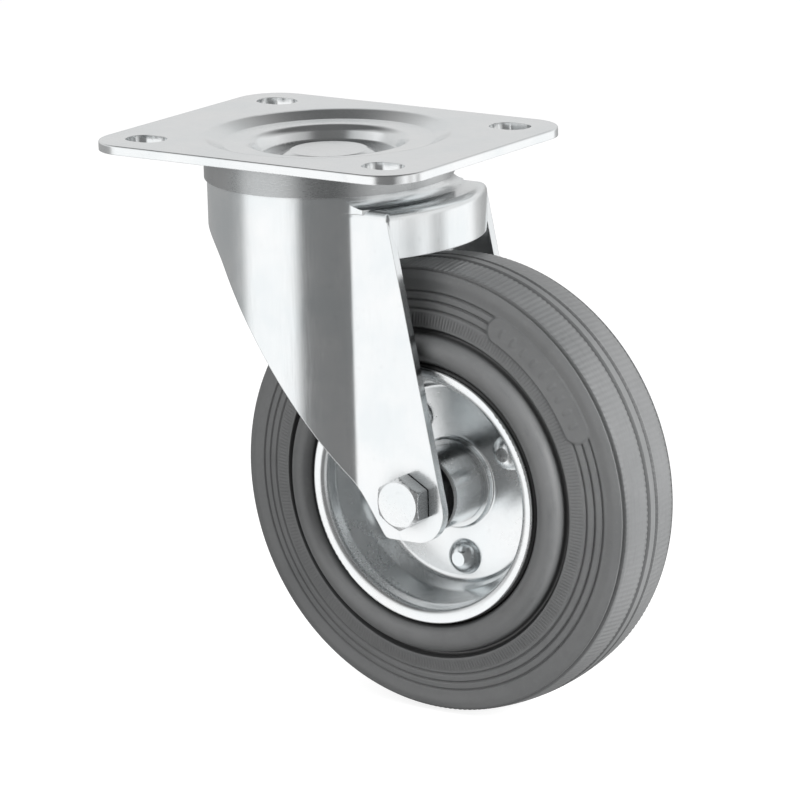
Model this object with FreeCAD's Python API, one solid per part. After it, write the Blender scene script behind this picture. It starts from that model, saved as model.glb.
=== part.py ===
"""Swivel plate castor with a solid rubber tyre on a pressed steel wheel.

Millimetres. The origin is the centre of the top plate's upper face, on the
swivel axis. +Z is up and +X is the trailing direction, from the swivel axis
towards the axle. The axle runs along Y. "Near" parts are on the -Y side.
"""
import FreeCAD, Part
import math
import os

V = FreeCAD.Vector
ORIGIN = V(0, 0, 0)
UP = V(0, 0, 1)

# ---- overall layout ----
TRAIL = 40.0              # swivel axis to axle, along X
AXLE_Z = -92.5            # axle height below the plate's top face
TYRE_R = 62.5             # wheel radius
BIG = 200.0               # size of cutting blocks

# ---- top plate ----
PLATE_X = 105.0
PLATE_Y = 84.0
PLATE_T = 2.5
PLATE_CORNER_R = 12.0
PLATE_EDGE_R = 0.5
SLOT_X = 78.5             # slot spacing along X
SLOT_Y = 60.0             # slot spacing along Y
SLOT_R = 4.5              # half of the slot's width
SLOT_L = 12.0             # slot end to end, along X
LEDGE_R = 29.1            # outer end of the ball ledge, on the sheet's centre line
LEDGE_Z = -3.25
DISH_R = 34.2             # where the dish starts
DISH_BENDS = (2.0, 1.5, 2.0, 2.0)
POCKET_RIM_R = 22.0
POCKET_R = 20.0
POCKET_Z = -7.25

# ---- kingpin ----
PIN_R = 6.0
PIN_HEAD_R = 13.5
PIN_FACE_R = 10.5
PIN_HEAD_H = 1.5
PIN_FOOT_R = 10.0
PIN_FOOT_FACE_R = 7.4
PIN_FOOT_H = 3.5

# ---- swivel bearing ----
RACE_R = 27.2             # pitch radius of both ball rings
BALL_GAP = 0.02           # clearance between a ball and its groove
TOP_BALL_R = 3.0
TOP_BALL_Z = -7.3
TOP_BALLS = 24
LOW_BALL_R = 2.5
LOW_BALL_Z = -15.0
LOW_BALLS = 28
CUP_T = 2.0
CUP_HUB_R = 20.4
CUP_HUB_Z = -9.5
CUP_RIM_R = 24.0
CUP_RIM_Z = -18.2
CUP_R = 30.2
RING_IN_R = 33.55         # dust ring
RING_OUT_R = 34.15
RING_BOTTOM = -11.0

# ---- fork ----
SHEET_T = 2.5
SHELL_R = 33.4            # outside of the round front shell
LEG_Y = 23.7              # outside of each leg
APRON_R = 42.7            # outside of the rear apron
CREASE_R = 7.0            # hollow blend between shell and leg
CORNER_R = 1.5            # corner between leg and apron
SHOULDER_Z = -14.3
SHOULDER_BEND_R = 2.4
COLLAR_BLEND_R = 3.0
APRON_BOTTOM = -27.0
BLOCK_FRONT_X = 10.0      # the shoulder and apron lie behind this
CROWN_TOP = -7.4
CROWN_FLOOR = -10.3
CROWN_HOLE_R = 24.5
FORK_BOTTOM = -110.0
FRONT_Z = -22.5           # lower edge at the very front
FRONT_EDGE_R = 24.0       # its blend into the slanting edge
SLANT_X = -12.1           # a point on the slanting front edge
SLANT_Z = -36.0
TOE_X = 32.4              # where the slanting edge meets the leg's flat bottom
TOE_R = 2.5
HEEL_X = 53.2             # where the flat bottom would meet the rear edge
HEEL_R = 9.0
LEG_BOTTOM = -104.0
REAR_TOP_X = 35.3         # a point on the rear edge
REAR_TOP_Z = -16.0
OUTLINE_TOP = 5.0         # the side outline is closed off above the fork here

# ---- axle ----
BOLT_R = 4.0
BOLT_HEX = 13.0           # across flats
BOLT_HEAD_H = 5.3
AXLE_HOLE_R = 4.05
NUT_HEX_H = 5.4
NUT_H = 8.0
NUT_COLLAR_R = 5.9
BOLT_END = 2.0            # thread showing past the nut
THREAD_CHAMFER = 0.8
HEX_LAND = 0.4            # width of the cone's cut at the middle of a flat
INSERT_R = 5.1
INSERT_T = 1.6
INSERT_DEPTH = 0.7        # below the collar's end
SLEEVE_R = 6.0

# ---- wheel centre ----
RIM_T = 1.4
NECK_H = 3.4              # half of the collar around the hub tube
DISC_R = 27.9             # flat disc, then (radius, height) down the barrel
RIM_WAIST = (29.6, 7.0)
RIM_SEAT = (32.3, 12.6)
SEAT_R = 32.6
RIM_BENDS = (1.7, 2.2, 5.0, 4.0, 1.6)
FLANGE_R = 35.0           # where the rounded lip of the flange starts
FLANGE_Y = 17.2           # the flange's centre line
HUB_R = 10.8
HUB_BORE_R = 9.5
HUB_HALF = 16.2
CAP_LIP = 1.0             # thickness of a bearing cap outside the hub tube
CAP_DEPTH = 1.1           # how far its spigot enters the tube
CAP_SPIGOT_R = 8.3
CAP_BORE_R = 6.1
CAP_CHAMFER = 0.4
RIVET_PITCH_R = 20.8
RIVET_ANGLES = (-82.5, 30.5, 126.0, 205.0)
RIVET_SHANK_R = 3.0
RIVET_R = 5.0             # button at its foot
RIVET_FACE_R = 2.0
RIVET_H = 3.6
ROLLERS = 8
ROLLER_R = 1.72
ROLLER_HALF = 14.0
ROLLER_CHAMFER = 0.25
ROLLER_PITCH_R = 7.75
CAGE_IN_R = 6.8
CAGE_OUT_R = 8.7
CAGE_HALF = 14.8
CAGE_GAP = 0.08

# ---- tyre: (radius, distance from the wheel's middle plane) ----
TREAD_HALF = 11.8
TREAD_CROWN = 1.2
TYRE_HALF = 18.75
FOOT_R = 30.4             # inside of the tyre at the middle
FOOT_Y = 16.3             # where the tyre tucks under the rim's flange
BEAD_R = 40.1             # the rounded bead beside the rim
BEAD_BULGE = 3.9
WALL_GROOVE_W = 1.8       # groove between the bead and the side wall
WALL_GROOVE_D = 0.2
WALL_IN_R = 46.0          # flat part of the side wall
WALL_IN_Y = 14.9
WALL_OUT_R = 56.6
WALL_OUT_Y = 13.5
SHOULDER_R = 60.9
SHOULDER_Y = 12.3
TREAD_STEPS = 4           # straight pieces across the tread's crown, each side
CENTRE_RIB = 1.4          # half width of the rib between the two tread grooves
GROOVE_W = 1.0
GROOVE_D = 0.9
EDGE_W = 0.7              # step at each edge of the tread
EDGE_D = 0.5
RING_LINES = (50.7, 53.0, 55.3)
LINE_W = 0.7
LINE_D = 0.35


# ---------------------------------------------------------------- helpers
def ring_solid(r_in, r_out, z0, z1):
    """A plain ring or disc about Z between two heights."""
    low, high = min(z0, z1), max(z0, z1)
    solid = Part.makeCylinder(r_out, high - low, V(0, 0, low), UP)
    if r_in > 0:
        solid = solid.cut(Part.makeCylinder(r_in, high - low, V(0, 0, low), UP))
    return solid


def spin(edges):
    """Revolve a closed outline, drawn in the XZ plane, about Z."""
    face = Part.Face(Part.Wire(Part.__sortEdges__(edges)))
    return Part.Solid(face.revolve(ORIGIN, UP, 360))


def spin_points(points):
    """Revolve a closed polygon of (radius, height) points about Z."""
    corners = [V(r, 0, z) for r, z in points]
    return spin(Part.makePolygon(corners + corners[:1]).Edges)


def side_path(points, radii, shift):
    """Edges of a bent line (radius, height) moved sideways by shift.

    Each inner point is a bend with the centre-line radius given for it.
    Positive shift is to the left of the direction of travel.
    """
    pts = [V(r, 0, z) for r, z in points]
    edges = []
    start = None
    for i in range(len(pts) - 1):
        ahead = (pts[i + 1] - pts[i]).normalize()
        left = V(-ahead.z, 0, ahead.x)
        if start is None:
            start = pts[i] + left * shift
        if i == len(pts) - 2:
            edges.append(Part.makeLine(start, pts[-1] + left * shift))
            break
        turn_to = (pts[i + 2] - pts[i + 1]).normalize()
        side = 1 if left.dot(turn_to) > 0 else -1
        angle = ahead.getAngle(turn_to)
        reach = radii[i] * math.tan(angle / 2)
        centre = pts[i + 1] - ahead * reach + left * (side * radii[i])
        bend_r = radii[i] - side * shift
        left_next = V(-turn_to.z, 0, turn_to.x)
        first = centre - left * (side * bend_r)
        last = centre - left_next * (side * bend_r)
        middle = centre - (left + left_next).normalize() * (side * bend_r)
        edges.append(Part.makeLine(start, first))
        edges.append(Part.Arc(first, middle, last).toShape())
        start = last
    return edges


def bent_ring(points, radii, thickness):
    """A sheet of constant thickness, bent along a line and revolved about Z."""
    one = side_path(points, radii, thickness / 2)
    two = side_path(points, radii, -thickness / 2)
    ends = [Part.makeLine(one[0].Vertexes[0].Point, two[0].Vertexes[0].Point),
            Part.makeLine(one[-1].Vertexes[-1].Point, two[-1].Vertexes[-1].Point)]
    return spin(one + two + ends)


def torus(pitch_r, tube_r, z):
    return Part.makeTorus(pitch_r, tube_r, V(0, 0, z), UP)


def turned_copies(solid, angles):
    """Copies of a solid turned about Z by each angle in degrees."""
    copies = []
    for angle in angles:
        piece = solid.copy()
        piece.rotate(ORIGIN, UP, angle)
        copies.append(piece)
    return copies


def even_angles(count):
    return [i * 360.0 / count for i in range(count)]


def on_axle(shape):
    """Move a shape built about Z on to the axle; its +Z becomes -Y, the near side."""
    moved = shape.copy()
    moved.rotate(ORIGIN, V(1, 0, 0), 90)
    moved.translate(V(TRAIL, 0, AXLE_Z))
    return moved


def flipped(shape):
    """Turn a shape built about Z over, so its top faces down."""
    turned = shape.copy()
    turned.rotate(ORIGIN, V(1, 0, 0), 180)
    return turned


def hexagon(across_flats, z0, z1):
    """A hexagonal prism about Z with corners on Y, its upper corners cut by a 30 degree cone."""
    corner_r = across_flats / math.sqrt(3)
    corners = []
    for i in range(7):
        a = math.radians(60 * i + 30)
        corners.append(V(corner_r * math.cos(a), corner_r * math.sin(a), z0))
    bar = Part.Face(Part.makePolygon(corners)).extrude(V(0, 0, z1 - z0))
    face_r = across_flats / 2 - HEX_LAND
    drop = (corner_r - face_r) * math.tan(math.radians(30))
    cone = spin_points([(0, z0), (corner_r, z0), (corner_r, z1 - drop), (face_r, z1), (0, z1)])
    return bar.common(cone)


def button(foot_r, face_r, z0, z1):
    """A rivet's button head about Z: a flat face and a side rounded about a point on the axis."""
    height = z1 - z0
    depth = (foot_r ** 2 - face_r ** 2 - height ** 2) / (2 * height)
    ball = Part.makeSphere(math.hypot(foot_r, depth), V(0, 0, z0 - depth))
    return ball.common(ring_solid(0, foot_r, z0, z1))


# ---------------------------------------------------------------- swivel head
def slots():
    """The four bolt slots, as cutting tools."""
    tools = []
    straight = SLOT_L - 2 * SLOT_R
    for sx in (-1, 1):
        for sy in (-1, 1):
            x, y = sx * SLOT_X / 2, sy * SLOT_Y / 2
            bar = Part.makeBox(straight, 2 * SLOT_R, 2 * PLATE_T,
                               V(x - straight / 2, y - SLOT_R, -1.5 * PLATE_T))
            for end in (-1, 1):
                bar = bar.fuse(Part.makeCylinder(SLOT_R, 2 * PLATE_T,
                                                 V(x + end * straight / 2, y, -1.5 * PLATE_T)))
            tools.append(bar.removeSplitter())
    return tools


def top_plate():
    """Rectangular plate pressed down in the middle as the upper ball race."""
    plate = Part.makeBox(PLATE_X, PLATE_Y, PLATE_T, V(-PLATE_X / 2, -PLATE_Y / 2, -PLATE_T))
    uprights = [e for e in plate.Edges if abs(e.tangentAt(e.FirstParameter).z) > 0.9]
    plate = plate.makeFillet(PLATE_CORNER_R, uprights)
    rim = [e for e in plate.Edges if abs(e.CenterOfMass.z) < 0.01]
    plate = plate.makeFillet(PLATE_EDGE_R, rim)
    join_r = DISH_R + 4
    plate = plate.cut(ring_solid(0, join_r, -PLATE_T, 0))
    line = [(PIN_R, POCKET_Z), (POCKET_R, POCKET_Z), (POCKET_RIM_R, LEDGE_Z),
            (LEDGE_R, LEDGE_Z), (DISH_R, -PLATE_T / 2), (join_r, -PLATE_T / 2)]
    dish = bent_ring(line, DISH_BENDS, PLATE_T)
    plate = plate.fuse(dish).removeSplitter()
    plate = plate.cut(torus(RACE_R, TOP_BALL_R + BALL_GAP, TOP_BALL_Z))
    for tool in slots():
        plate = plate.cut(tool)
    return plate


def kingpin():
    """Rivet that holds the plate and the lower race together."""
    floor = POCKET_Z + PLATE_T / 2
    under = CUP_HUB_Z - CUP_T / 2
    head = button(PIN_HEAD_R, PIN_FACE_R, floor, floor + PIN_HEAD_H)
    shank = ring_solid(0, PIN_R, under, floor)
    foot = flipped(button(PIN_FOOT_R, PIN_FOOT_FACE_R, -under, PIN_FOOT_H - under))
    return head.fuse([shank, foot]).removeSplitter()


def lower_race_cup():
    """Dished washer that carries the lower ball ring."""
    line = [(PIN_R, CUP_HUB_Z), (CUP_HUB_R, CUP_HUB_Z), (CUP_RIM_R, CUP_RIM_Z), (CUP_R, CUP_RIM_Z)]
    cup = bent_ring(line, [1.6, 1.6], CUP_T)
    return cup.cut(torus(RACE_R, LOW_BALL_R + BALL_GAP, LOW_BALL_Z))


def balls(radius, z, count):
    ball = Part.makeSphere(radius, V(RACE_R, 0, z))
    return Part.makeCompound(turned_copies(ball, even_angles(count)))


# ---------------------------------------------------------------- fork
def plan_face(shell_r, half_width, crease_r, rear_r, corner_r):
    """Outline of the fork seen from above, as a face at height 0.

    A circle at the front, blended into two flat sides. The rear is an arc
    of radius rear_r, or open to a far straight edge when rear_r is None.
    """
    blend_y = half_width + crease_r
    blend_x = math.sqrt((shell_r + crease_r) ** 2 - blend_y ** 2)
    share = shell_r / (shell_r + crease_r)
    on_shell = V(blend_x * share, -blend_y * share, 0)
    on_side = V(blend_x, -half_width, 0)
    toward = (V(0, 0, 0) + on_shell + on_side) * 0.5 - V(blend_x, -blend_y, 0)
    middle = V(blend_x, -blend_y, 0) + toward.normalize() * crease_r
    near = [Part.Arc(on_shell, middle, on_side).toShape()]
    if rear_r is None:
        far_x = 80.0
        near.append(Part.makeLine(on_side, V(far_x, -half_width, 0)))
        rear = Part.makeLine(V(far_x, -half_width, 0), V(far_x, half_width, 0))
    else:
        inner_r = rear_r - corner_r
        cy = half_width - corner_r
        cx = math.sqrt(inner_r ** 2 - cy ** 2)
        side_end = V(cx, -half_width, 0)
        rear_end = V(cx * rear_r / inner_r, -cy * rear_r / inner_r, 0)
        bisect = (V(0, -1, 0) + V(cx, -cy, 0).normalize()).normalize()
        near.append(Part.makeLine(on_side, side_end))
        near.append(Part.Arc(side_end, V(cx, -cy, 0) + bisect * corner_r, rear_end).toShape())
        rear = Part.Arc(rear_end, V(rear_r, 0, 0), V(rear_end.x, -rear_end.y, 0)).toShape()
    far = [e.mirror(ORIGIN, V(0, 1, 0)) for e in near]
    front = Part.Arc(on_shell, V(-shell_r, 0, 0), V(on_shell.x, -on_shell.y, 0)).toShape()
    return Part.Face(Part.Wire(Part.__sortEdges__(near + [rear] + far + [front])))


def prism(face, z0, z1):
    block = face.extrude(V(0, 0, z1 - z0))
    block.translate(V(0, 0, z0))
    return block


def side_prism():
    """Everything inside the fork's outline seen from the side."""
    slant = (TOE_X - SLANT_X) / (LEG_BOTTOM - SLANT_Z)
    front_x = SLANT_X + slant * (FRONT_Z - SLANT_Z)
    lean = (HEEL_X - REAR_TOP_X) / (LEG_BOTTOM - REAR_TOP_Z)
    top_x = REAR_TOP_X + lean * (OUTLINE_TOP - REAR_TOP_Z)
    left = -BIG / 2
    line = [(left, FRONT_Z), (front_x, FRONT_Z), (TOE_X, LEG_BOTTOM), (HEEL_X, LEG_BOTTOM),
            (top_x, OUTLINE_TOP)]
    edges = side_path(line, (FRONT_EDGE_R, TOE_R, HEEL_R), 0)
    edges.append(Part.makeLine(V(top_x, 0, OUTLINE_TOP), V(left, 0, OUTLINE_TOP)))
    edges.append(Part.makeLine(V(left, 0, OUTLINE_TOP), V(left, 0, FRONT_Z)))
    face = Part.Face(Part.Wire(Part.__sortEdges__(edges)))
    solid = face.extrude(V(0, BIG, 0))
    solid.translate(V(0, -BIG / 2, 0))
    return solid


def fork_walls():
    """Front shell and legs, below the shoulder."""
    under = SHOULDER_Z - SHEET_T
    outer = plan_face(SHELL_R, LEG_Y, CREASE_R, None, 0)
    inner = plan_face(SHELL_R - SHEET_T, LEG_Y - SHEET_T, CREASE_R + SHEET_T, None, 0)
    walls = prism(outer, FORK_BOTTOM, under).cut(prism(inner, FORK_BOTTOM, under))
    return walls.common(side_prism())


def fork_shoulder():
    """Flat shoulder behind the collar, turned down into the rear apron."""
    outer = plan_face(SHELL_R, LEG_Y, CREASE_R, APRON_R, CORNER_R)
    block = prism(outer, APRON_BOTTOM, SHOULDER_Z)
    top_edges = [e for e in block.Edges if abs(e.BoundBox.ZMin - SHOULDER_Z) < 0.01]
    block = block.makeFillet(SHOULDER_BEND_R, top_edges)
    inner = plan_face(SHELL_R - SHEET_T, LEG_Y - SHEET_T, CREASE_R + SHEET_T,
                      APRON_R - SHEET_T, CORNER_R)
    block = block.cut(prism(inner, APRON_BOTTOM, SHOULDER_Z - SHEET_T))
    block = block.cut(ring_solid(0, SHELL_R - SHEET_T, APRON_BOTTOM, 0))
    behind = Part.makeBox(BIG, BIG, BIG, V(BLOCK_FRONT_X, -BIG / 2, -BIG / 2))
    return block.common(behind)


def collar_blend():
    """Rounded inside corner between the collar and the shoulder."""
    out = SHELL_R + COLLAR_BLEND_R
    low = SHOULDER_Z - SHEET_T / 2
    top = SHOULDER_Z + COLLAR_BLEND_R
    inside = SHELL_R - SHEET_T / 2
    square = ring_solid(inside, out, low, top)
    square = square.cut(torus(out, COLLAR_BLEND_R, top))
    return square.common(prism(plan_face(SHELL_R, LEG_Y, CREASE_R, None, 0), low, top))


def crown():
    """Collar and pressed ball race at the top of the fork."""
    wall_r = SHELL_R - SHEET_T / 2
    top = CROWN_TOP - SHEET_T / 2
    floor = CROWN_FLOOR - SHEET_T / 2
    line = [(wall_r, SHOULDER_Z - SHEET_T), (wall_r, top), (30.0, top), (28.8, floor),
            (25.7, floor), (CROWN_HOLE_R, top - 0.8)]
    solid = bent_ring(line, [1.3, 1.3, 1.3, 1.3], SHEET_T)
    solid = solid.cut(torus(RACE_R, TOP_BALL_R + BALL_GAP, TOP_BALL_Z))
    return solid.cut(torus(RACE_R, LOW_BALL_R + BALL_GAP, LOW_BALL_Z))


def fork():
    body = crown().fuse([fork_walls(), fork_shoulder(), collar_blend()]).removeSplitter()
    hole = on_axle(ring_solid(0, AXLE_HOLE_R, -BIG / 2, BIG / 2))
    return body.cut(hole)


# ---------------------------------------------------------------- axle
def axle_bolt():
    """Hexagon bolt with its head outside the near leg."""
    head = hexagon(BOLT_HEX, LEG_Y, LEG_Y + BOLT_HEAD_H)
    tip = -(LEG_Y + NUT_H + BOLT_END)
    shank = spin_points([(0, LEG_Y), (BOLT_R, LEG_Y), (BOLT_R, tip + THREAD_CHAMFER),
                         (BOLT_R - THREAD_CHAMFER, tip), (0, tip)])
    return head.fuse(shank).removeSplitter()


def nut_insert():
    """Plastic locking ring in the nut's collar."""
    top = LEG_Y + NUT_H - INSERT_DEPTH
    return ring_solid(BOLT_R, INSERT_R, top - INSERT_T, top)


def axle_nut():
    """Locking nut, drawn with its collar upwards."""
    nut = hexagon(BOLT_HEX, LEG_Y, LEG_Y + NUT_HEX_H)
    top = LEG_Y + NUT_H
    collar = spin_points([(0, LEG_Y), (NUT_COLLAR_R, LEG_Y), (NUT_COLLAR_R, top - THREAD_CHAMFER),
                          (NUT_COLLAR_R - THREAD_CHAMFER, top), (0, top)])
    nut = nut.fuse(collar).removeSplitter()
    return nut.cut(ring_solid(0, BOLT_R, LEG_Y, top)).cut(nut_insert())


def axle_sleeve():
    """Hardened tube clamped between the legs; the rollers run on it."""
    half = LEG_Y - SHEET_T
    return ring_solid(AXLE_HOLE_R, SLEEVE_R, -half, half)


# ---------------------------------------------------------------- bearing
def roller(i):
    solid = Part.makeCylinder(ROLLER_R, 2 * ROLLER_HALF, V(ROLLER_PITCH_R, 0, -ROLLER_HALF), UP)
    solid = solid.makeChamfer(ROLLER_CHAMFER, [e for e in solid.Edges if e.Closed])
    solid.rotate(ORIGIN, UP, i * 360.0 / ROLLERS)
    return solid


def roller_cage():
    """Thin sleeve with one pocket for each roller."""
    cage = ring_solid(CAGE_IN_R, CAGE_OUT_R, -CAGE_HALF, CAGE_HALF)
    half = ROLLER_HALF + CAGE_GAP
    pocket = Part.makeCylinder(ROLLER_R + CAGE_GAP, 2 * half, V(ROLLER_PITCH_R, 0, -half), UP)
    for tool in turned_copies(pocket, even_angles(ROLLERS)):
        cage = cage.cut(tool)
    return cage


def bearing_cap():
    """Flanged ring pressed into the end of the hub tube."""
    lip = HUB_HALF + CAP_LIP
    return spin_points([(CAP_BORE_R, HUB_HALF), (CAP_SPIGOT_R, HUB_HALF),
                        (CAP_SPIGOT_R, HUB_HALF - CAP_DEPTH), (HUB_BORE_R, HUB_HALF - CAP_DEPTH),
                        (HUB_BORE_R, HUB_HALF), (HUB_R, HUB_HALF), (HUB_R, lip - CAP_CHAMFER),
                        (HUB_R - CAP_CHAMFER, lip), (CAP_BORE_R, lip)])


# ---------------------------------------------------------------- wheel
def rim_half():
    """Pressed half rim: neck, disc, sloping barrel, tyre seat and flange."""
    half_t = RIM_T / 2
    line = [(HUB_R + half_t, NECK_H), (HUB_R + half_t, half_t), (DISC_R, half_t), RIM_WAIST,
            RIM_SEAT, (SEAT_R, FLANGE_Y), (FLANGE_R, FLANGE_Y)]
    half = bent_ring(line, RIM_BENDS, RIM_T)
    lip = torus(FLANGE_R, half_t, FLANGE_Y)
    return half.fuse(lip).removeSplitter()


def riveted(half):
    """A rim half with its rivet holes."""
    hole = Part.makeCylinder(RIVET_SHANK_R, 4 * RIM_T, V(RIVET_PITCH_R, 0, -2 * RIM_T), UP)
    for tool in turned_copies(hole, RIVET_ANGLES):
        half = half.cut(tool)
    return half


def rim_rivets():
    """Button-headed rivets that hold the two rim halves together."""
    head = button(RIVET_R, RIVET_FACE_R, RIM_T, RIM_T + RIVET_H)
    shank = ring_solid(0, RIVET_SHANK_R, -RIM_T, RIM_T)
    rivet = shank.fuse([head, flipped(head)]).removeSplitter()
    rivet.translate(V(RIVET_PITCH_R, 0, 0))
    return Part.makeCompound(turned_copies(rivet, RIVET_ANGLES))


def hub_tube():
    return ring_solid(HUB_BORE_R, HUB_R, -HUB_HALF, HUB_HALF)


def tread_point(y):
    """A point on the slightly rounded tread."""
    return (TYRE_R - TREAD_CROWN * (y / TREAD_HALF) ** 2, y)


def tyre_half_outline():
    """(radius, distance from middle) points of the tyre, for one side."""
    bead = []
    for degrees in range(-20, 161, 20):
        a = math.radians(degrees)
        bead.append((BEAD_R - BEAD_BULGE * math.cos(a), TYRE_HALF - BEAD_BULGE * (1 - math.sin(a))))
    foot = [(FOOT_R, 0), (FOOT_R, RIM_WAIST[1] - 1.0), (SEAT_R + 0.4, RIM_SEAT[1]),
            (SEAT_R + 0.4, FOOT_Y), (FLANGE_R + 0.9, FOOT_Y)]
    wall = [(WALL_IN_R - WALL_GROOVE_W, WALL_IN_Y), (WALL_IN_R, WALL_IN_Y + WALL_GROOVE_D)]
    slope = (WALL_OUT_Y - WALL_IN_Y) / (WALL_OUT_R - WALL_IN_R)
    half = LINE_W / 2
    for r in RING_LINES:
        y = WALL_IN_Y + slope * (r - WALL_IN_R)
        wall += [(r - half, y - slope * half), (r, y - LINE_D), (r + half, y + slope * half)]
    wall += [(WALL_OUT_R, WALL_OUT_Y), (SHOULDER_R, SHOULDER_Y)]
    tread = [(tread_point(TREAD_HALF)[0] - EDGE_D, TREAD_HALF)]
    land_out = TREAD_HALF - EDGE_W
    land_in = CENTRE_RIB + GROOVE_W
    for step in range(TREAD_STEPS + 1):
        tread.append(tread_point(land_out + (land_in - land_out) * step / TREAD_STEPS))
    tread.append((TYRE_R - GROOVE_D, CENTRE_RIB + GROOVE_W / 2))
    tread.append(tread_point(CENTRE_RIB))
    tread.append(tread_point(0))
    return foot + bead + wall + tread


def tyre(rim_near, rim_far):
    half = spin_points(tyre_half_outline())
    whole = half.fuse(flipped(half)).removeSplitter()
    return whole.cut(rim_near).cut(rim_far)


# ---------------------------------------------------------------- export
def nodes():
    plate = top_plate()
    rim_near = rim_half()
    rim_far = flipped(rim_near)
    parts = {
        "top_plate": plate,
        "kingpin": kingpin(),
        "lower_race_cup": lower_race_cup(),
        "dust_ring": ring_solid(RING_IN_R, RING_OUT_R, RING_BOTTOM, -PLATE_T).cut(plate),
        "upper_balls": balls(TOP_BALL_R, TOP_BALL_Z, TOP_BALLS),
        "lower_balls": balls(LOW_BALL_R, LOW_BALL_Z, LOW_BALLS),
        "fork": fork(),
        "axle_bolt": on_axle(axle_bolt()),
        "axle_nut": on_axle(flipped(axle_nut())),
        "nut_insert": on_axle(flipped(nut_insert())),
        "axle_sleeve": on_axle(axle_sleeve()),
        "tyre": on_axle(tyre(rim_near, rim_far)),
        "rim_near": on_axle(riveted(rim_near)),
        "rim_far": on_axle(riveted(rim_far)),
        "rim_rivets": on_axle(rim_rivets()),
        "hub_tube": on_axle(hub_tube()),
        "bearing_cap_near": on_axle(bearing_cap()),
        "bearing_cap_far": on_axle(flipped(bearing_cap())),
        "roller_cage": on_axle(roller_cage()),
    }
    for i in range(ROLLERS):
        parts["roller_%d" % (i + 1)] = on_axle(roller(i))
    return parts


os.makedirs("parts", exist_ok=True)
for name, shape in nodes().items():
    shape.exportStep("parts/" + name + ".step")
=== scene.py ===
"""Looks for the swivel plate caster: metals, rubber, moulded tyre, threaded bolt and studio."""
import math

import bpy
import numpy as np
from mathutils import Matrix, Vector

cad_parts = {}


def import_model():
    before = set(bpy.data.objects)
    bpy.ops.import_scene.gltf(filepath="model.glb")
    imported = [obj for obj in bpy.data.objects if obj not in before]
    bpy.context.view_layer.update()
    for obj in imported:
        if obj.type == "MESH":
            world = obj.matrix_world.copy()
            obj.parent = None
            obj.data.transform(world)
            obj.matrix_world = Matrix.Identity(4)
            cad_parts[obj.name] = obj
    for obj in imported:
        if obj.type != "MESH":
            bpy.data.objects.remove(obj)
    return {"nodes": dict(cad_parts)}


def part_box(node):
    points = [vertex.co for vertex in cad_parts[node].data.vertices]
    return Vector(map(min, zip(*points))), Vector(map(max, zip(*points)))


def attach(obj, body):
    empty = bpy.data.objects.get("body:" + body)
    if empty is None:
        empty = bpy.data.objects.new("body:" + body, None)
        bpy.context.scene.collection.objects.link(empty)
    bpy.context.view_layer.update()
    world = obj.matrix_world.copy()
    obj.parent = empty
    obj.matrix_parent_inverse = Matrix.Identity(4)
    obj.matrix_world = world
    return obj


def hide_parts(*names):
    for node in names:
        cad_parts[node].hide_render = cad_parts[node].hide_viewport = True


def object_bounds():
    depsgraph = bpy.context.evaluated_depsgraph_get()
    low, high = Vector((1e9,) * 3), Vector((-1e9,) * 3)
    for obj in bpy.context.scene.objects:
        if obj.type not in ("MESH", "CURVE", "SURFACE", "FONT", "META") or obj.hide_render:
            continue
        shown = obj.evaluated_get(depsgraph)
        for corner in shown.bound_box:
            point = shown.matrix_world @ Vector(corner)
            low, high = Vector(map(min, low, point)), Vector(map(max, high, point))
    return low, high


MM = 0.001

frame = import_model()
cad_low, cad_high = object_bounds()
cad_middle = (cad_low + cad_high) / 2
scene = bpy.context.scene


# ---------------------------------------------------------------- node helpers
class Graph:
    """Small helper for building a node tree. A value can be a number or another node's socket."""

    def __init__(self, tree):
        self.tree = tree

    def feed(self, socket, value):
        if isinstance(value, bpy.types.NodeSocket):
            self.tree.links.new(value, socket)
        else:
            socket.default_value = value

    def add(self, kind, settings=None, **inputs):
        node = self.tree.nodes.new(kind)
        for key, value in (settings or {}).items():
            setattr(node, key, value)
        for key, value in inputs.items():
            self.feed(node.inputs[key.replace("_", " ")], value)
        return node

    def math(self, operation, a, b=0.0):
        node = self.add("ShaderNodeMath", {"operation": operation})
        self.feed(node.inputs[0], a)
        self.feed(node.inputs[1], b)
        return node.outputs[0]

    def remap(self, value, low, high, out_low, out_high):
        node = self.add("ShaderNodeMapRange")
        for socket, number in zip(node.inputs, (value, low, high, out_low, out_high)):
            self.feed(socket, number)
        return node.outputs[0]

    def mix(self, share, a, b):
        """Colour a, going over to colour b as share goes from 0 to 1."""
        node = self.add("ShaderNodeMix", {"data_type": "RGBA"})
        for place, value in ((0, share), (6, a), (7, b)):
            self.feed(node.inputs[place], value)
        return node.outputs[2]

    def noise(self, vector, scale, detail=3.0, rough=0.55):
        node = self.add("ShaderNodeTexNoise", Scale=scale, Detail=detail, Roughness=rough, Vector=vector)
        return node.outputs["Fac"]

    def stretched(self, vector, scale):
        return self.add("ShaderNodeMapping", Vector=vector, Scale=scale).outputs[0]

    def ramp(self, value, stops):
        """A grey that follows (place, level) stops."""
        node = self.add("ShaderNodeValToRGB")
        self.feed(node.inputs[0], value)
        ramp = node.color_ramp
        ramp.interpolation = "EASE"
        while len(ramp.elements) > 1:
            ramp.elements.remove(ramp.elements[-1])
        for i, (place, level) in enumerate(stops):
            stop = ramp.elements[0] if i == 0 else ramp.elements.new(place)
            stop.position = place
            stop.color = grey(level)
        return node.outputs["Color"]


def grey(level, tint=0.0):
    """A grey, slightly cool when tint is above zero."""
    return (level * (1 - tint), level, level * (1 + 0.4 * tint), 1.0)


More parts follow.
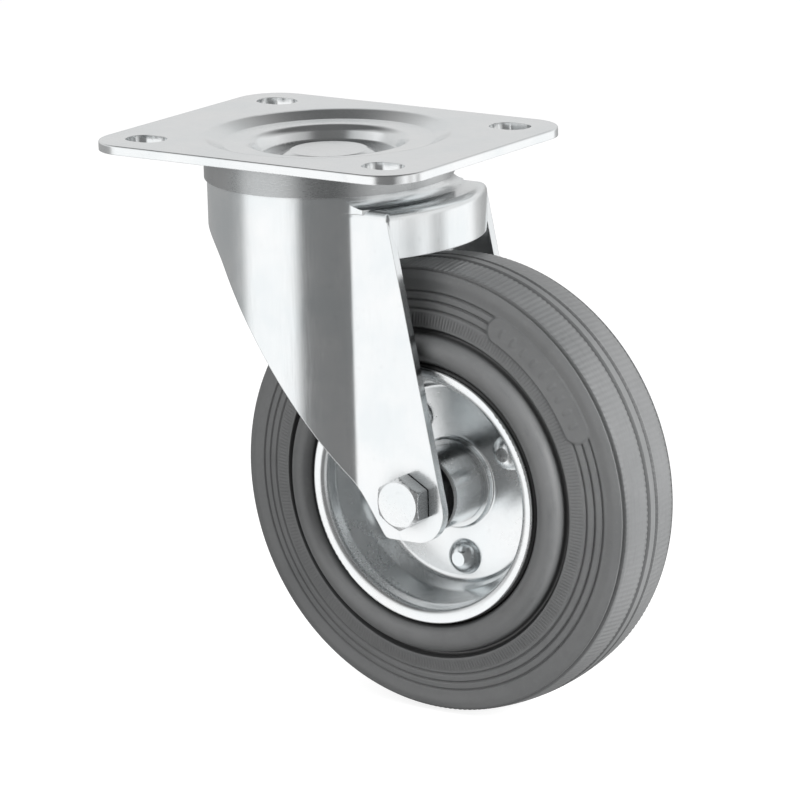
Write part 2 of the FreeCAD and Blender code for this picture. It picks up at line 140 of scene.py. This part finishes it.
def new_material(name):
    """The material, its node helper, its shader, and the piece's own coordinates in metres."""
    material = bpy.data.materials.new(name)
    material.use_nodes = True
    graph = Graph(material.node_tree)
    shader = material.node_tree.nodes["Principled BSDF"]
    place = graph.add("ShaderNodeTexCoord").outputs["Object"]
    return material, graph, shader, place


# ---------------------------------------------------------------- metals
PLATING_RELIEF = 0.012 * MM
METAL_SHADE_REACH = 7 * MM    # how far the painted recess shade reaches
SCRATCHES = 0.5           # strength where they are strongest


def metal(name, level, tint, rough, grain=(1.0, 1.0, 1.0), grain_strength=0.10, edge=0.3,
          mottle=0.035, recess_shade=0.45, relief=1.0):
    """Zinc-plated or bare steel: mottled colour, rolled grain, small scratches, worn edges and painted
    shade in recesses.

    level and tint give the colour, edge is the width of the worn edge in millimetres,
    recess_shade sets how strong the painted shade in recesses gets, and relief scales the bump.
    """
    material, g, shader, place = new_material(name)
    cloud = g.noise(place, 55.0, 4.0)
    spots = g.noise(place, 420.0, 3.0)
    fine = g.noise(place, 2600.0, 2.0)
    lines = g.noise(g.stretched(place, grain), 900.0, 4.0, 0.6)
    # mottled colour
    colour = g.mix(g.remap(cloud, 0.35, 0.65, 0.0, 1.0), grey(level * (1 - mottle), tint * 1.6),
                   grey(level * (1 + mottle), tint * 0.6))
    colour = g.mix(g.remap(spots, 0.62, 0.74, 0.0, 0.22), colour, grey(level * 0.80, tint))
    # worn edges, found where the rounded normal leaves the true one
    rounded = g.add("ShaderNodeBevel", {"samples": 4}, Radius=edge * MM)
    true = g.add("ShaderNodeNewGeometry").outputs["Normal"]
    bend = g.add("ShaderNodeVectorMath", {"operation": "DOT_PRODUCT"})
    g.feed(bend.inputs[0], rounded.outputs[0])
    g.feed(bend.inputs[1], true)
    worn = g.remap(bend.outputs["Value"], 0.985, 0.90, 0.0, 1.0)
    worn = g.math("MULTIPLY", worn, g.remap(cloud, 0.3, 0.6, 0.35, 1.0))
    colour = g.mix(worn, colour, grey(min(level * 1.10, 0.97), tint * 0.5))
    # painted shade: a darker grey where ambient occlusion finds recesses, creases and overhangs
    shade_ao = g.add("ShaderNodeAmbientOcclusion", {"samples": 6}, Distance=METAL_SHADE_REACH)
    painted_shade = g.remap(shade_ao.outputs["AO"], 0.78, 0.30, 0.0, recess_shade)
    colour = g.mix(painted_shade, colour, grey(level * 0.30, tint * 1.5))
    # scratches: thin bands of a stretched cell pattern, in patches
    cells = g.add("ShaderNodeTexVoronoi", {"feature": "DISTANCE_TO_EDGE"}, Scale=70.0,
                  Vector=g.stretched(place, (1.0, 2.3, 0.6))).outputs["Distance"]
    scratch = g.remap(cells, 0.0, 0.010, 1.0, 0.0)
    patches = g.remap(g.noise(place, 38.0, 1.0), 0.60, 0.68, 0.0, SCRATCHES)
    scratch = g.math("MULTIPLY", scratch, patches)
    # roughness
    roughness = g.remap(cloud, 0.3, 0.7, rough * 0.80, rough * 1.25)
    roughness = g.math("ADD", roughness, g.remap(lines, 0.3, 0.7, -grain_strength, grain_strength))
    roughness = g.math("ADD", roughness, g.math("MULTIPLY", scratch, 0.12))
    roughness = g.math("ADD", roughness, g.math("MULTIPLY", worn, 0.05))
    # relief
    height = g.math("ADD", g.math("MULTIPLY", fine, 0.25), g.math("MULTIPLY", spots, 0.35))
    height = g.math("ADD", height, g.math("MULTIPLY", lines, 8.0 * grain_strength))
    height = g.math("SUBTRACT", height, g.math("MULTIPLY", scratch, 1.2))
    bump = g.add("ShaderNodeBump", Strength=0.35, Distance=PLATING_RELIEF * relief, Height=height,
                 Normal=rounded.outputs[0])
    g.feed(shader.inputs["Base Color"], colour)
    g.feed(shader.inputs["Roughness"], roughness)
    g.feed(shader.inputs["Normal"], bump.outputs[0])
    g.feed(shader.inputs["Metallic"], 1.0)
    return material


# ---------------------------------------------------------------- rubber and plastics
RUBBER_GRAIN = 0.05 * MM
# how far the painted shade in the tyre's grooves and low places reaches
RUBBER_SHADE_REACH = 3.5 * MM
NYLON_GRAIN = 0.03 * MM
NYLON_SCATTER = 1 * MM


def rubber():
    """Grey moulded rubber: faint bloom, painted shade in the low places, fine grain."""
    material, g, shader, place = new_material("rubber_grey")
    cloud = g.noise(place, 38.0, 5.0)
    speck = g.noise(place, 700.0, 3.0)
    grain = g.noise(place, 3200.0, 3.0)
    streak = g.noise(g.stretched(place, (1.0, 9.0, 1.0)), 160.0, 3.0)
    colour = g.mix(g.remap(cloud, 0.3, 0.7, 0.0, 1.0), grey(0.100, 0.03), grey(0.130, 0.02))
    colour = g.mix(g.remap(speck, 0.55, 0.75, 0.0, 0.35), colour, grey(0.150, 0.01))
    colour = g.mix(g.remap(streak, 0.5, 0.8, 0.0, 0.30), colour, grey(0.055, 0.03))
    # painted shade: grooves and low places go near black where ambient occlusion finds them
    shade_ao = g.add("ShaderNodeAmbientOcclusion", {"samples": 6}, Distance=RUBBER_SHADE_REACH)
    colour = g.mix(g.remap(shade_ao.outputs["AO"], 0.90, 0.35, 0.0, 0.85), colour, grey(0.022, 0.02))
    roughness = g.math("ADD", g.remap(cloud, 0.3, 0.7, 0.35, 0.42), g.remap(speck, 0.3, 0.7, -0.03, 0.05))
    height = g.math("ADD", g.math("MULTIPLY", grain, 0.6), g.math("MULTIPLY", speck, 0.8))
    bump = g.add("ShaderNodeBump", Strength=0.5, Distance=RUBBER_GRAIN, Height=height)
    g.feed(shader.inputs["Base Color"], colour)
    g.feed(shader.inputs["Roughness"], roughness)
    g.feed(shader.inputs["Normal"], bump.outputs[0])
    g.feed(shader.inputs["Specular IOR Level"], 0.75)
    return material


def nylon(name, colour):
    """Moulded nylon: slightly translucent, faint flow marks."""
    material, g, shader, place = new_material(name)
    flow = g.noise(g.stretched(place, (1.0, 4.0, 1.0)), 120.0, 4.0)
    fine = g.noise(place, 2400.0, 2.0)
    dark = tuple(c * 0.86 for c in colour[:3]) + (1.0,)
    bump = g.add("ShaderNodeBump", Strength=0.3, Distance=NYLON_GRAIN, Height=fine)
    g.feed(shader.inputs["Base Color"], g.mix(g.remap(flow, 0.3, 0.7, 0.0, 1.0), dark, colour))
    g.feed(shader.inputs["Roughness"], g.remap(flow, 0.3, 0.7, 0.34, 0.50))
    g.feed(shader.inputs["Normal"], bump.outputs[0])
    g.feed(shader.inputs["Subsurface Weight"], 0.08)
    g.feed(shader.inputs["Subsurface Scale"], NYLON_SCATTER)
    return material


def dress():
    """Give every CAD node its finish. Nodes that aren't named here are rollers."""
    plate = metal("zinc_plate", 0.84, 0.02, 0.17, grain=(0.15, 3.0, 3.0), grain_strength=0.05, recess_shade=0.75)
    pressed = metal("zinc_pressed", 0.84, 0.025, 0.19, grain=(3.0, 3.0, 0.12), grain_strength=0.06,
                    recess_shade=0.80)
    wheel = metal("zinc_bright", 0.86, 0.02, 0.24, grain_strength=0.03, mottle=0.02, relief=0.5)
    bolt = metal("zinc_bolt", 0.84, 0.03, 0.24, grain=(1.0, 0.2, 1.0), grain_strength=0.04, edge=0.2,
                 relief=0.4)
    dull = metal("steel_dull", 0.50, 0.02, 0.34, grain=(1.0, 1.0, 6.0), edge=0.15)
    bearing = metal("steel_bearing", 0.70, 0.01, 0.09, grain_strength=0.02, edge=0.1, mottle=0.02)
    finishes = {
        "top_plate": plate, "kingpin": plate, "fork": pressed,
        "rim_near": wheel, "rim_far": wheel, "hub_tube": wheel,
        "axle_bolt": bolt, "axle_nut": bolt, "rim_rivets": bolt,
        "dust_ring": dull, "lower_race_cup": dull, "bearing_cap_near": dull, "bearing_cap_far": dull,
        "axle_sleeve": bearing, "upper_balls": bearing, "lower_balls": bearing,
        "nut_insert": nylon("nylon_blue", (0.05, 0.14, 0.38, 1.0)),
        "roller_cage": nylon("nylon_natural", (0.78, 0.76, 0.68, 1.0)),
        "tyre": rubber(),
    }
    for name, node in frame["nodes"].items():
        node.data.materials.clear()
        node.data.materials.append(finishes.get(name, bearing))
    return finishes


# ---------------------------------------------------------------- mesh helpers
def turned(name, points, closed_along, material):
    """A piece from a grid of points [row][step]: steps go round, rows go along the outline.

    An outline that isn't closed gets a cap at each end.
    """
    rows, steps = points.shape[:2]
    i = np.arange(rows if closed_along else rows - 1)[:, None]
    j = np.arange(steps)[None, :]
    below, ahead = (i + 1) % rows, (j + 1) % steps
    quads = np.stack([i * steps + j, below * steps + j, below * steps + ahead, i * steps + ahead], -1)
    faces = quads.reshape(-1, 4).tolist()
    if not closed_along:
        faces.append(list(range(steps)))
        faces.append([(rows - 1) * steps + k for k in reversed(range(steps))])
    mesh = bpy.data.meshes.new(name)
    mesh.from_pydata(points.reshape(-1, 3).tolist(), [], faces)
    mesh.validate()
    mesh.shade_smooth()
    mesh.materials.append(material)
    piece = bpy.data.objects.new(name, mesh)
    scene.collection.objects.link(piece)
    return piece


def round_y(centre, radius, theta, y):
    """Points round a line along Y through centre; radius is in millimetres, y in metres."""
    return np.stack([centre.x + radius * np.cos(theta) * MM, y,
                     centre.z + radius * np.sin(theta) * MM], -1)


def full_turn(steps):
    return np.arange(steps) * 2 * math.pi / steps


def smooth_step(x):
    x = np.clip(x, 0, 1)
    return x * x * (3 - 2 * x)


# ---------------------------------------------------------------- tyre, in millimetres
TYRE_STEPS = 960          # round the tyre
CROWN = 1.2               # the tread's fall from its middle to its edge
TREAD_HALF_W = 11.8
GROOVE_D = 1.10           # the pair of grooves beside the tread's centre rib
GROOVE_MIDDLE = 1.85
GROOVE_HALF_W = 0.65
SERRATIONS = 240          # fine ribs across the tread
SERRATION_H = 0.13
WALL_TOP_R = 60.75
WALL_FOOT_R = 46.0
WALL_TOP_W = 12.42        # the wall's distance from the middle plane, at its top
WALL_SPREAD = 2.75        # how much further out it is at its foot
SWELL_R = 58.8            # the rounded band under the shoulder groove
SWELL_H = 0.42
SWELL_REACH = 1.7
BEAD_R = 40.1             # the round bead that holds the rim's flange
BEAD_ROUND_R = 3.9
BEAD_TOP_W = 18.75
SEAT_R = 35.9
SEAT_EDGE_W = 16.3
KNURLS = 320              # fine ribs round each side wall
KNURL_BAND = (46.3, 49.8)
KNURL_H = 0.16
LINE_RADII = (50.7, 53.0, 55.3)
LINE_W = 0.42
LINE_D = 0.60
PAD_R = 53.0              # the raised pad's middle radius
PAD_HALF_W = 3.5
PAD_H = 0.40
PAD_MIDDLE = 44.5         # degrees, seen from the near side
PAD_HALF_ANGLE = 22.5
TICKS = 9                 # plain marks on the pad
TICK_PITCH = 4.3          # degrees
TICK_H = 0.22


def tread_profile(radius):
    """(radius, distance from the middle plane) across half the tread."""
    groove = [0.0, 0.6, 1.0, 1.12, 1.25, 1.85, 2.45, 2.58, 2.75]
    across = groove + list(np.arange(3.4, 11.0, 0.95)) + [11.2]
    points = []
    for w in across:
        cut = GROOVE_D if abs(w - GROOVE_MIDDLE) < GROOVE_HALF_W else 0.0
        points.append((radius - CROWN * (w / TREAD_HALF_W) ** 2 - cut, w))
    return points


def wall_profile():
    """The side wall: it spreads towards its foot, with a swell under the shoulder groove."""
    coarse = list(np.arange(60.2, 57.2, -0.6))
    lined = list(np.arange(57.0, 49.0, -0.22))
    knurled = list(np.arange(48.9, 45.9, -0.42))
    points = []
    for r in coarse + lined + knurled:
        share = (WALL_TOP_R - r) / (WALL_TOP_R - WALL_FOOT_R)
        swell = SWELL_H * math.exp(-((r - SWELL_R) / SWELL_REACH) ** 2)
        points.append((r, WALL_TOP_W + WALL_SPREAD * share + swell))
    return points


def bead_profile():
    """The round bead beside the rim's flange."""
    points = []
    for degrees in range(160, -21, -12):
        a = math.radians(degrees)
        points.append((BEAD_R - BEAD_ROUND_R * math.cos(a), BEAD_TOP_W - BEAD_ROUND_R * (1 - math.sin(a))))
    return points


def tyre_outline(radius):
    """(radius, distance from the middle plane) down one side, from the middle of the tread."""
    shoulder_groove = [(61.3, 11.28), (60.7, 11.40), (60.1, 11.60), (60.0, 12.0),
                       (60.25, 12.32), (60.85, 12.42), (60.72, 12.6)]
    bead_groove = [(45.85, 15.1), (45.6, 14.6), (45.35, 13.95), (44.9, 13.55),
                   (44.4, 13.6), (44.1, 14.2), (43.95, 15.1)]
    seat = [(SEAT_R, SEAT_EDGE_W), (33.0, SEAT_EDGE_W), (33.0, 12.6), (30.4, 6.0)]
    return (tread_profile(radius) + shoulder_groove + wall_profile() + bead_groove
            + bead_profile() + seat)


def pad_distance(radius, angle):
    """Distance inside (negative) or outside the rounded pad."""
    along = PAD_R * np.radians(np.abs(angle))
    half = PAD_R * math.radians(PAD_HALF_ANGLE) - PAD_HALF_W
    return np.hypot(np.maximum(along - half, 0), radius - PAD_R) - PAD_HALF_W


def tyre_relief(radius, width, theta):
    """Height of the moulded detail above the plain outline."""
    on_wall = (radius < 60.5) & (radius > 45.0) & (np.abs(width) > 12.0)
    on_tread = (radius > 60.9) & (np.abs(width) < 11.4) & (np.abs(width) > 2.5)
    inner, outer = KNURL_BAND
    knurled = on_wall * smooth_step((radius - inner) / 0.4) * smooth_step((outer - radius) / 0.4)
    relief = KNURL_H * knurled * np.cos(KNURLS * theta)
    relief = relief + SERRATION_H * on_tread * (np.cos(SERRATIONS * theta) - 1) / 2
    lines = np.zeros_like(radius)
    for r in LINE_RADII:
        lines = np.maximum(lines, 1 - np.abs(radius - r) / LINE_W)
    angle = (np.degrees(theta) - PAD_MIDDLE + 180) % 360 - 180
    pad = pad_distance(radius, angle)
    relief = relief - LINE_D * lines * smooth_step(pad / 0.7) * on_wall
    raised = PAD_H * smooth_step((0.25 - pad) / 0.5)
    for i in range(TICKS):
        centre = (i - (TICKS - 1) / 2) * TICK_PITCH
        away = np.hypot(np.radians(angle - centre) * PAD_R, 0.42 * (radius - PAD_R))
        raised = raised + TICK_H * smooth_step((0.75 - away) / 0.35)
    return relief + raised * on_wall


def moulded_tyre(material):
    """The tyre with its grooves, ribs, lines and raised pad."""
    low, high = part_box("tyre")
    centre = (low + high) / 2
    side = tyre_outline((high.z - low.z) / 2 / MM)
    outline = np.array([(r, -w) for r, w in side] + [(r, w) for r, w in reversed(side[1:])])
    ahead = np.roll(outline, -1, 0) - np.roll(outline, 1, 0)
    normal = np.stack([-ahead[:, 1], ahead[:, 0]], -1)
    normal /= np.linalg.norm(normal, axis=1)[:, None]
    if normal[0, 0] < 0:
        normal = -normal
    theta = full_turn(TYRE_STEPS)
    radius = np.repeat(outline[:, :1], TYRE_STEPS, 1)
    width = np.repeat(outline[:, 1:], TYRE_STEPS, 1)
    lift = tyre_relief(radius, width, theta[None, :])
    radius = radius + lift * normal[:, :1]
    width = width + lift * normal[:, 1:]
    grid = round_y(centre, radius, theta, centre.y + width * MM)
    piece = turned("tyre_moulded", grid, True, material)
    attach(piece, "wheel")
    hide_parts("tyre")


# ---------------------------------------------------------------- axle bolt, in millimetres
BOLT_STEPS = 144          # round the bolt
HEAD_H = 5.3
WASHER_FACE_H = 0.3       # the low round face under the head
SHANK_R = 4.0
SHANK_PLAY = 0.02         # the plain shank is this much smaller
THREAD_PITCH = 1.25
THREAD_D = 0.58
THREAD_ROW = 0.12         # distance between the rows of points that shape the thread
TIP_CHAMFER = 0.8
CHAMFER_ANGLE = 30.0      # degrees, round the head's face
# radii on the head, as shares of the size across flats
CORNER = 0.573
CHAMFER_FOOT = 0.468
WASHER_FACE = 0.465
FLAT_FACE = 0.44
POINT_R = 0.05            # each end closes on a circle this small


def bolt_radius(theta, along, flats, thread):
    """Radius of the bolt at an angle and at a distance along the axle from the head's face.

    flats is the size across flats; thread is the (start, end) of the threaded tip.
    """
    if along < HEAD_H - WASHER_FACE_H:
        turn = (theta + math.pi / 6) % (math.pi / 3) - math.pi / 6
        hexagon = np.minimum(flats / 2 / np.cos(turn), flats * CORNER)
        return np.minimum(hexagon, flats * CHAMFER_FOOT + along / math.tan(math.radians(CHAMFER_ANGLE)))
    if along < HEAD_H:
        return np.full_like(theta, flats * WASHER_FACE)
    start, end = thread
    if along < start:
        return np.full_like(theta, SHANK_R - SHANK_PLAY)
    phase = (along - start) / THREAD_PITCH - theta / (2 * math.pi)
    ridge = SHANK_R - THREAD_D * np.abs((phase % 1.0) * 2 - 1)
    return np.minimum(ridge, SHANK_R - TIP_CHAMFER + (end - along))


def detailed_bolt(material):
    """Hexagon bolt with a washer face, a chamfered head and a real thread at its free end."""
    low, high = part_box("axle_bolt")
    nut_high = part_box("axle_nut")[1]
    centre = (low + high) / 2
    flats = (high.x - low.x) / MM
    length = (high.y - low.y) / MM
    start = (nut_high.y - low.y) / MM - 0.6
    theta = full_turn(BOLT_STEPS)
    under_head = HEAD_H - WASHER_FACE_H
    stations = [0.0, 0.1, 0.25, 0.45, 0.7, 1.0, 2.0, 3.6]
    stations += [under_head - 0.01, under_head + 0.01, HEAD_H - 0.01, HEAD_H]
    stations += list(np.arange(start, length, THREAD_ROW)) + [length]
    rings = [(0.0, np.full_like(theta, POINT_R)), (0.0, np.full_like(theta, flats * FLAT_FACE))]
    rings += [(along, bolt_radius(theta, along, flats, (start, length))) for along in stations]
    rings.append((length, np.full_like(theta, POINT_R)))
    radius = np.array([ring for along, ring in rings])
    y = low.y + np.array([along for along, ring in rings])[:, None] * MM + np.zeros_like(radius)
    piece = turned("axle_bolt_detail", round_y(centre, radius, theta, y), False, material)
    piece.data.set_sharp_from_angle(angle=math.radians(28))
    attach(piece, "fork")
    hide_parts("axle_bolt")


# ---------------------------------------------------------------- studio
FLOOR_HALF = 12.0
FLOOR_GREY = 0.30
FLOOR_GLOW = 0.84         # keeps the floor pale where the camera sees it


def floor():
    """Wide pale floor under the tyre. It shows in no reflection."""
    mesh = bpy.data.meshes.new("studio_floor")
    corners = [(x * FLOOR_HALF, y * FLOOR_HALF, cad_low.z) for x, y in ((-1, -1), (1, -1), (1, 1), (-1, 1))]
    mesh.from_pydata(corners, [], [(0, 1, 2, 3)])
    piece = bpy.data.objects.new("studio_floor", mesh)
    scene.collection.objects.link(piece)
    piece.visible_glossy = False
    material, g, shader, _ = new_material("floor_pale")
    seen = g.add("ShaderNodeLightPath").outputs["Is Camera Ray"]
    g.feed(shader.inputs["Base Color"], grey(FLOOR_GREY))
    g.feed(shader.inputs["Roughness"], 0.9)
    g.feed(shader.inputs["Emission Color"], grey(1.0))
    g.feed(shader.inputs["Emission Strength"], g.math("MULTIPLY", seen, FLOOR_GLOW))
    mesh.materials.append(material)


# How bright the studio is all round, as (share of a full turn, level) stops. The turn starts
# at the side of +Y and passes -X at 0.25, -Y at 0.5 and +X at 0.75.
LOW_BAND = [(0.00, 0.40), (0.10, 0.36), (0.30, 0.34), (0.335, 0.40), (0.375, 1.0), (0.495, 1.0),
            (0.53, 0.20), (0.64, 0.18), (0.68, 0.55), (0.733, 0.95), (0.766, 0.62), (0.80, 0.92),
            (0.835, 0.50), (0.87, 1.0), (0.945, 1.0), (0.98, 0.5)]
HIGH_BAND = [(0.00, 0.66), (0.12, 0.66), (0.30, 0.64), (0.36, 0.95), (0.47, 0.95), (0.53, 0.20),
             (0.66, 0.18), (0.72, 0.75), (0.85, 0.78), (0.93, 0.76)]
HORIZON = (-6.0, 8.0)     # degrees up, where the low band goes over to the high one
OVERHEAD = (26.0, 52.0)   # degrees up, where the high band goes over to a dark ceiling
CEILING_GREY = 0.12
STUDIO_LIGHT = 1.16


def world():
    """White behind the object for the camera; softboxes, dark gaps and a dark ceiling as light."""
    sky = bpy.data.worlds.new("studio")
    scene.world = sky
    sky.use_nodes = True
    g = Graph(sky.node_tree)
    g.tree.nodes.clear()
    out = g.add("ShaderNodeOutputWorld")
    way = g.add("ShaderNodeTexCoord").outputs["Generated"]
    axes = g.add("ShaderNodeSeparateXYZ", Vector=way).outputs
    turn = g.math("ARCTAN2", axes[0], g.math("MULTIPLY", axes[1], -1.0))
    turn = g.remap(turn, -math.pi, math.pi, 0.0, 1.0)
    level = g.ramp(turn, LOW_BAND)
    lift = g.math("ARCSINE", axes[2])
    for (start, end), above in ((HORIZON, g.ramp(turn, HIGH_BAND)), (OVERHEAD, grey(CEILING_GREY))):
        share = g.remap(lift, math.radians(start), math.radians(end), 0.0, 1.0)
        level = g.mix(share, level, above)
    seen = g.add("ShaderNodeLightPath").outputs["Is Camera Ray"]
    colour = g.mix(seen, level, grey(1.0))
    strength = g.remap(seen, 0.0, 1.0, STUDIO_LIGHT, 1.0)
    back = g.add("ShaderNodeBackground", Color=colour, Strength=strength)
    g.feed(out.inputs[0], back.outputs[0])


def direction(azimuth, elevation):
    """Unit vector at these angles in degrees. Azimuth 0 is at -Y and 90 at +X."""
    a, e = math.radians(azimuth), math.radians(elevation)
    return Vector((math.sin(a) * math.cos(e), -math.cos(a) * math.cos(e), math.sin(e)))


LIGHT_DISTANCE = 0.9


def soft_light(name, azimuth, elevation, size, power):
    """Square light that shows in no reflection."""
    away = direction(azimuth, elevation)
    data = bpy.data.lights.new(name, "AREA")
    data.shape = "SQUARE"
    data.size = size
    data.energy = power
    light = bpy.data.objects.new(name, data)
    light.location = cad_middle + away * LIGHT_DISTANCE
    light.visible_glossy = False
    light.rotation_mode = "QUATERNION"
    light.rotation_quaternion = away.to_track_quat("Z", "Y")
    scene.collection.objects.link(light)


CAMERA_AZIMUTH = 35.35
CAMERA_ELEVATION = 14.19
CAMERA_ROLL = -1.59
CAMERA_DISTANCE = 1.4375
LENS = 237.6
SENSOR = 36.0
AIM_OFFSET = Vector((-0.0032, -0.0006, 0.0054))    # from the middle of the object


def camera():
    """Long lens from the front right, a little above the plate."""
    roll = math.radians(CAMERA_ROLL)
    back = direction(CAMERA_AZIMUTH, CAMERA_ELEVATION)
    level = direction(CAMERA_AZIMUTH + 90, 0)
    upright = back.cross(level)
    right = level * math.cos(roll) + upright * math.sin(roll)
    up = upright * math.cos(roll) - level * math.sin(roll)
    data = bpy.data.cameras.new("camera")
    data.lens = LENS
    data.sensor_width = SENSOR
    data.clip_start, data.clip_end = 0.05, 60.0
    eye = bpy.data.objects.new("camera", data)
    spot = cad_middle + AIM_OFFSET + back * CAMERA_DISTANCE
    eye.matrix_world = Matrix.Translation(spot) @ Matrix((right, up, back)).transposed().to_4x4()
    scene.collection.objects.link(eye)
    scene.camera = eye


# ---------------------------------------------------------------- build
finishes = dress()
moulded_tyre(finishes["tyre"])
detailed_bolt(finishes["axle_bolt"])
floor()
world()
soft_light("key", -25.0, 42.0, 0.55, 4.6)
soft_light("fill", 88.0, 16.0, 0.5, 17.0)
camera()
scene.view_settings.view_transform = "Standard"
